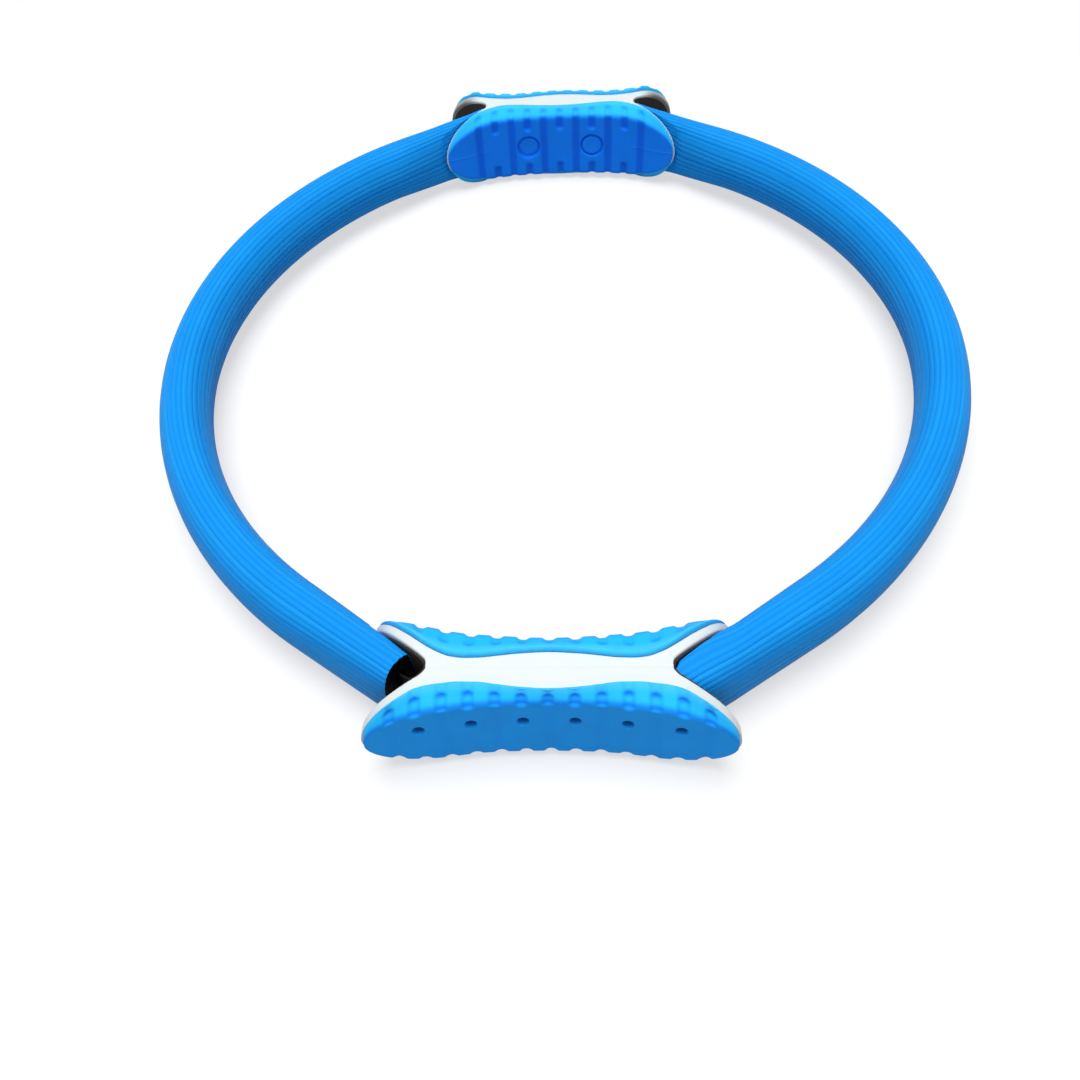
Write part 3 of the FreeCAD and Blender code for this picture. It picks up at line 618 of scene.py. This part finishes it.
def frame_half(where, part, sign, web, mouth):
    """Half of the white frame, sign -1 toward the ring's middle. Upright slices across it are rectangles
    with eased corners, from the seam or the mouth to the pad's seat, under an outline with round ends."""
    crotch = MOUTH_OUT[0][0]
    near = np.linspace(0, crotch, WEB_STEPS)
    past = crotch + (SHELL_HALF_LONG - TIP_SHORT - crotch) * np.linspace(0, 1, ARM_STEPS)[1:] ** ARM_POWER
    tip = SHELL_HALF_LONG - SHELL_END_LONG * (1 - np.sin(np.linspace(TIP_FROM, TIP_TO, TIP_STEPS)))
    half = np.unique(np.concatenate([near, past, tip]))
    u = np.concatenate([-half[:0:-1], half])
    low = np.where(np.abs(u) <= crotch, SEAM / 2, mouth(u))
    high, z = web(u), end_drop(u, SHELL_HALF_HIGH, SHELL_HALF_LONG, SHELL_END_LONG)
    corners = np.stack([np.stack([low, -z], -1), np.stack([low, z], -1),
                        np.stack([high, z], -1), np.stack([high, -z], -1)], axis=1)
    rim = np.where(np.abs(u) <= crotch, SEAM_ROUND, RIM_ROUND)
    seat = np.full_like(u, PAD_EDGE_ROUND)
    loop = eased_loop(corners, np.stack([rim, rim, seat, seat], -1),
                      [inner_shares(10), inner_shares(4), inner_shares(4), inner_shares(4)], FRAME_BEND)
    rows = on_handle(where, u[:, None], sign * loop[..., 0], loop[..., 1])
    # Columns up to 22 face the mouth and those from 30 to 38 face the pad
    inward = np.interp(np.arange(loop.shape[1]), [22, 30, 38, 46], [1.0, 0.0, 0.0, 1.0])
    back_arm = (where, part) == ("back", "outer")
    # Painted shade: the back handle's outer half darkens toward its tip on the faces toward the mouth
    mouth_shade = ease((np.abs(u) - MOUTH_SHADE_FROM) / MOUTH_SHADE_LONG)[:, None] * inward * float(back_arm)
    piece = skin(f"{where}_{part}_frame", rows, FRAME_WHITE, sharp=50, marks={"mouth_shade": mouth_shade})
    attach(piece, f"{where}_handle")
    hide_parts(f"{where}_{part}_shell")


# Pads


def stations_along(fine_spans):
    """Places along a pad: fine steps inside the spans and coarse ones elsewhere, then even steps of angle
    round the end."""
    u = [0.0]
    while u[-1] < PAD_EVEN_TO:
        inside = any(a - PAD_COARSE <= u[-1] <= b for a, b in fine_spans)
        u.append(u[-1] + (PAD_FINE if inside else PAD_COARSE))
    flat = PAD_HALF_LONG - PAD_END_LONG
    start = math.asin((u[-1] - flat) / PAD_END_LONG)
    round_end = flat + PAD_END_LONG * np.sin(np.linspace(start, PAD_ROUND_TO, PAD_ROUND_STEPS)[1:])
    half = np.concatenate([np.array(u), round_end])
    return np.concatenate([-half[:0:-1], half])


def pad_section(u, web, face, face_shares):
    """Slices of a pad: back on the web, a narrow crest, a sloping bevel, an eased ridge and the face. The
    lower half mirrors the upper one."""
    w, r = web(u) + PAD_CLEAR, face(u)
    crest = end_drop(u, CREST_HALF_HIGH + CREST_RISE, PAD_HALF_LONG + CREST_PAST, PAD_END_LONG)
    ridge = ridge_high(u)
    e = np.minimum(CREST_SET, CREST_SET_SHARE * (r - w))
    f = CREST_FLAT_SHARE * (r - w)
    g = np.minimum(RIDGE_SET, RIDGE_SET_SHARE * (r - w))
    k = np.minimum(RIDGE_LIFT, RIDGE_LIFT_SHARE * (crest - ridge))
    top = np.minimum(crest, CREST_HALF_HIGH)
    upper = [(w, top - np.minimum(BACK_DROP, BACK_DROP_SHARE * top)), (w + e, top), (w + e + f, top),
             (r - g, ridge + k), (r, ridge - RIDGE_DROP_SHARE * k)]
    corners = np.stack([np.stack(p, -1) for p in upper + [(v, -z) for v, z in upper[::-1]]], axis=1)
    flat, bevel = inner_shares(CREST_STEPS + 1), inner_shares(BEVEL_STEPS + 1)
    sides = [[], flat, bevel, [], face_shares, [], bevel, flat, [], inner_shares(6)]
    return eased_loop(corners, CORNER_CUTS + CORNER_CUTS[::-1], sides, PAD_BEND)


def trough(du, run, low, high):
    """1 inside a round-ended trough between run low and high, easing to 0 over its wall."""
    half = GROOVE_HALF_WIDE
    over = np.maximum(np.maximum(run - (high - half), low + half - run), 0.0)
    return ease((half - np.hypot(du, over)) / GROOVE_WALL)


def pad_relief(u, z, run, ridge, crest, sign, pitch, count):
    """Depth of a pad's relief, and masks for the painted shadow at the tops of its notches and the painted
    shade in its pits. Whole grooves and short notches take turns on an inner pad. An outer pad has notches
    with a faint groove or a pit by turns, and a wavy crest. Wells for the caps and a mould line are on inner
    pads alone. The deepest form holds."""
    top = ridge + GROOVE_BEVEL_SHARE * (crest - ridge)
    deep = GROOVE_DEEP * (1 - BEVEL_SHALLOW[sign] * ease((run - ridge) / SHALLOW_LONG + 0.5))
    cut, arch_shadow, pits = np.zeros_like(run), np.zeros_like(run), np.zeros_like(run)
    for i in range(count):
        du = u - (i - (count - 1) / 2) * pitch
        low = WHOLE_FACE if sign < 0 and i % 2 == 0 else ridge - NOTCH_LONG[sign]
        shape = trough(du, run, low, top)
        cut = np.maximum(cut, deep * shape)
        arch_shadow = np.maximum(arch_shadow, shape * ease((run - top + ARCH_LONG) / ARCH_WALL))
        if sign > 0:
            cut = np.maximum(cut, CREST_WAVE * trough(du, run, ridge, crest + CREST_OVER))
        if sign > 0 and i % 2 == 0:
            cut = np.maximum(cut, FAINT_DEEP * trough(du, run, WHOLE_FACE, top))
        if sign > 0 and i % 2:
            pit = ease((PIT_RADIUS + PIT_EASE - np.hypot(du, (z - PIT_Z) / PIT_TALL)) / PIT_WALL)
            cut = np.maximum(cut, PIT_DEEP * pit)
            # Painted shade: this mask also paints the pits dark navy
            pits = np.maximum(pits, pit)
    if sign < 0:
        for at in (-SCREW_X, SCREW_X):
            well = ease((WELL_RADIUS + WELL_WALL / 2 - np.hypot(u - at, z)) / WELL_WALL)
            cut = np.maximum(cut, WELL_DEEP * well)
        grown = ease((np.abs(u) - MOULD_LINE_FROM) / MOULD_LINE_LONG)
        cut = cut - MOULD_LINE * np.exp(-(z / MOULD_LINE_HALF) ** 2) * grown
    return cut, arch_shadow, pits


def pad(where, part, sign, web, face, pitch, count, fine_spans, face_shares):
    """Grip pad: a bevelled bar with relief on its face and bevels. Depths are cut along the slices' inward
    normals, and places are measured along the surface from the middle of the face."""
    u = stations_along(fine_spans)
    loop = pad_section(u, web, face, face_shares)
    along = np.roll(loop, -1, axis=1) - np.roll(loop, 1, axis=1)
    normal = np.stack([-along[..., 1], along[..., 0]], -1)
    normal /= np.maximum(np.linalg.norm(normal, axis=2, keepdims=True), 1e-9)
    crest_at = PAD_BEND * 3 + CREST_STEPS - 1
    ridge_at = PAD_BEND * 4 + CREST_STEPS + BEVEL_STEPS
    middle = PAD_BEND * 5 + CREST_STEPS + BEVEL_STEPS + len(face_shares) // 2
    run = lengths(loop)
    run = np.abs(run - run[:, middle:middle + 1])
    ridge, crest = run[:, ridge_at:ridge_at + 1], run[:, crest_at:crest_at + 1]
    cut, arch_shadow, pits = pad_relief(u[:, None], loop[..., 1], run, ridge, crest, sign, pitch, count)
    # The back and the corners beside it stay whole
    cut[:, :PAD_BEND] = 0.0
    cut[:, loop.shape[1] - 2 * PAD_BEND:] = 0.0
    loop = loop - normal * cut[..., None]
    rows = on_handle(where, u[:, None], sign * loop[..., 0], loop[..., 1])
    # Painted light: the bevel is lighter, as if lit from above, fading out just below the ridge. The outer
    # pads' faces are lifted half way to it.
    upper = np.maximum(ease((run - ridge) / BEVEL_LIGHT_LONG + BEVEL_LIGHT_START), FACE_PAINTED_LIGHT[sign])
    # Painted shade: grooves and notches are darker by their depth and less so on the lit bevel. The outer
    # pads get a dark line just under the ridge, and the notch tops get painted shadow.
    shade_mask = np.clip(cut / GROOVE_DEEP, 0, 1) * (1 - GROOVE_SHADE_LESS * upper) * GROOVE_SHADE[sign]
    shade_mask = shade_mask + RIDGE_SHADE[sign] * np.exp(-((run - ridge + EDGE_BELOW) / EDGE_HALF) ** 2)
    marks = {"painted_shade": shade_mask + ARCH_SHADOW[sign] * arch_shadow, "upper": upper, "pit": pits,
             # Painted highlight: the crest is painted paler and whiter
             "crest": ease((run - crest) / CREST_LIGHT_LONG + CREST_LIGHT_START)}
    piece = skin(f"{where}_{part}_grip", rows, PAD_BLUE, sharp=75, marks=marks)
    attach(piece, f"{where}_handle")
    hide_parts(f"{where}_{part}_pad")


def screw_caps(where):
    """Two push-in plugs: a turned profile with an eased rim and a faint dish. Each has its own depth and
    tilt."""
    radius, fall = np.array(CAP_PROFILE).T[..., None]
    turn = np.linspace(0, 2 * math.pi, CAP_STEPS + 1)[:-1]
    for at, hand in ((-SCREW_X, "a"), (SCREW_X, "b")):
        u = at + radius * np.cos(turn)
        z = radius * np.sin(turn)
        v = face_in(at) - CAP_RECESS[hand] - fall + CAP_TILT[hand] * z
        piece = skin(f"{where}_cap_{hand}", on_handle(where, u, -v, z), CAP_BLUE, sharp=40)
        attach(piece, f"{where}_handle")
        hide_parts(f"{where}_screw_caps")


def face_steps(fine_from, fine_to):
    """Shares down a pad's face, fine between two heights and the same from both edges."""
    reach = RIDGE_HALF_HIGH - FACE_EASED
    half = [0.0]
    while half[-1] < reach - FACE_COARSE:
        half.append(half[-1] + (FACE_FINE if fine_from <= half[-1] <= fine_to else FACE_COARSE))
    half = np.array(half) / reach
    return 0.5 + 0.5 * np.concatenate([-half[:0:-1], half])


def handle(where):
    """One handle: two frame halves, two pads and the caps. The pads' grids are fine round wells and pits."""
    frame_half(where, "inner", -1, web_in, mouth_in)
    frame_half(where, "outer", 1, web_out, mouth_out)
    wells = [(SCREW_X - WELL_RADIUS - WELL_MARGIN, SCREW_X + WELL_RADIUS + WELL_MARGIN)]
    pits = [(at - PIT_SPAN, at + PIT_SPAN) for at in np.arange(1, OUTER_COUNT // 2, 2) * OUTER_PITCH]
    pad(where, "inner", -1, web_in, face_in, INNER_PITCH, INNER_COUNT, wells, face_steps(*INNER_FINE_FACE))
    pad(where, "outer", 1, web_out, face_out, OUTER_PITCH, OUTER_COUNT, pits, face_steps(*OUTER_FINE_FACE))
    screw_caps(where)


# Nodes that keep their solid


def dress(node, material):
    """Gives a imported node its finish."""
    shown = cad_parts[node]
    shown.data.materials.clear()
    shown.data.materials.append(material)


for place in ("back", "front"):
    handle(place)
    dress(f"{place}_screws", STEEL)
    for hand in ("left", "right"):
        dress(f"{place}_{hand}_socket", SOCKET_DARK)
for half_side, half_hand in ((1, "right"), (-1, "left")):
    hoop_half(half_side, half_hand)


# Floor, light and camera


def seen_rays(nodes, links):
    """1 for rays from the camera, reflections and refractions, 0 for light."""
    path = nodes.new("ShaderNodeLightPath")
    seen = math_node(nodes, links, "MAXIMUM", path.outputs["Is Camera Ray"], path.outputs["Is Glossy Ray"])
    return math_node(nodes, links, "MAXIMUM", seen, path.outputs["Is Transmission Ray"])


def floor():
    """Wide pale floor that keeps the shadow and is lifted to white where it is seen. Away from the object
    it turns into a plain white backdrop."""
    mesh = bpy.data.meshes.new("floor")
    corners = [(x * FLOOR_HALF, y * FLOOR_HALF, FLOOR_Z) for x, y in ((-1, -1), (1, -1), (1, 1), (-1, 1))]
    mesh.from_pydata(corners, [], [(0, 1, 2, 3)])
    material = bpy.data.materials.new("floor_white")
    material.use_nodes = True
    nodes, links = material.node_tree.nodes, material.node_tree.links
    nodes.remove(nodes["Principled BSDF"])
    diffuse, glow, both, backdrop, fade = (nodes.new(kind) for kind in (
        "ShaderNodeBsdfDiffuse", "ShaderNodeEmission", "ShaderNodeAddShader", "ShaderNodeEmission",
        "ShaderNodeMixShader"))
    diffuse.inputs["Color"].default_value = (FLOOR_TONE, FLOOR_TONE, FLOOR_TONE, 1)
    glow.inputs["Color"].default_value = (FLOOR_GLOW, FLOOR_GLOW, FLOOR_GLOW, 1)
    seen = seen_rays(nodes, links)
    links.new(seen, glow.inputs["Strength"])
    links.new(seen, backdrop.inputs["Strength"])
    links.new(diffuse.outputs[0], both.inputs[0])
    links.new(glow.outputs[0], both.inputs[1])
    away = nodes.new("ShaderNodeVectorMath")
    away.operation = "LENGTH"
    links.new(nodes.new("ShaderNodeTexCoord").outputs["Object"], away.inputs[0])
    share = nodes.new("ShaderNodeMapRange")
    share.interpolation_type = "SMOOTHSTEP"
    share.inputs["From Min"].default_value = BACKDROP_FROM
    share.inputs["From Max"].default_value = BACKDROP_FULL
    links.new(away.outputs["Value"], share.inputs["Value"])
    links.new(share.outputs["Result"], fade.inputs["Fac"])
    links.new(both.outputs[0], fade.inputs[1])
    links.new(backdrop.outputs[0], fade.inputs[2])
    links.new(fade.outputs[0], nodes["Material Output"].inputs["Surface"])
    mesh.materials.append(material)
    made = bpy.data.objects.new("floor", mesh)
    bpy.context.scene.collection.objects.link(made)


def unit(vector):
    """A direction of length 1."""
    return vector / np.linalg.norm(vector)


def put(made, right, back, place):
    """Puts an object in the scene at a place, turned by its directions to the right and back."""
    up = np.cross(back, right)
    made.matrix_world = Matrix([(right[i], up[i], back[i], place[i]) for i in range(3)] + [(0, 0, 0, 1)])
    bpy.context.scene.collection.objects.link(made)


def softbox(name, place, aim, size, power):
    """Square area lamp turned to a point."""
    lamp = bpy.data.lights.new(name, "AREA")
    lamp.size, lamp.energy = size, power
    back = unit(np.array(place, float) - np.array(aim, float))
    put(bpy.data.objects.new(name, lamp), unit(np.cross((0.0, 1.0, 0.0), back)), back, place)


def surroundings():
    """White seen by the camera and in reflections, softer as a light."""
    world = bpy.data.worlds.new("studio")
    world.use_nodes = True
    nodes, links = world.node_tree.nodes, world.node_tree.links
    seen = seen_rays(nodes, links)
    strength = math_node(nodes, links, "MULTIPLY_ADD", seen, 1 - WORLD_LIGHT, WORLD_LIGHT)
    links.new(strength, nodes["Background"].inputs["Strength"])
    nodes["Background"].inputs["Color"].default_value = (1, 1, 1, 1)
    bpy.context.scene.world = world


def camera():
    """Camera of the photo's view, turned by its directions to the right and down."""
    data = bpy.data.cameras.new("camera")
    data.lens, data.sensor_width = CAMERA_LENS, CAMERA_SENSOR
    data.shift_x, data.shift_y = CAMERA_SHIFT
    made = bpy.data.objects.new("camera", data)
    right = unit(np.array(CAMERA_RIGHT))
    back = unit(np.cross(right, -np.array(CAMERA_DOWN)))
    put(made, right, back, (np.array(CAMERA_PLACE) + (0, 0, MID_Z)) * MM)
    bpy.context.scene.camera = made


floor()
softbox("key", place=(-0.08, -0.08, 2.0), aim=(0, 0, 0), size=1.45, power=48.0)
softbox("front", place=(0.1, -1.6, 0.7), aim=(0, 0, 0.02), size=0.9, power=5.0)
surroundings()
camera()
bpy.context.scene.view_settings.view_transform = "Standard"
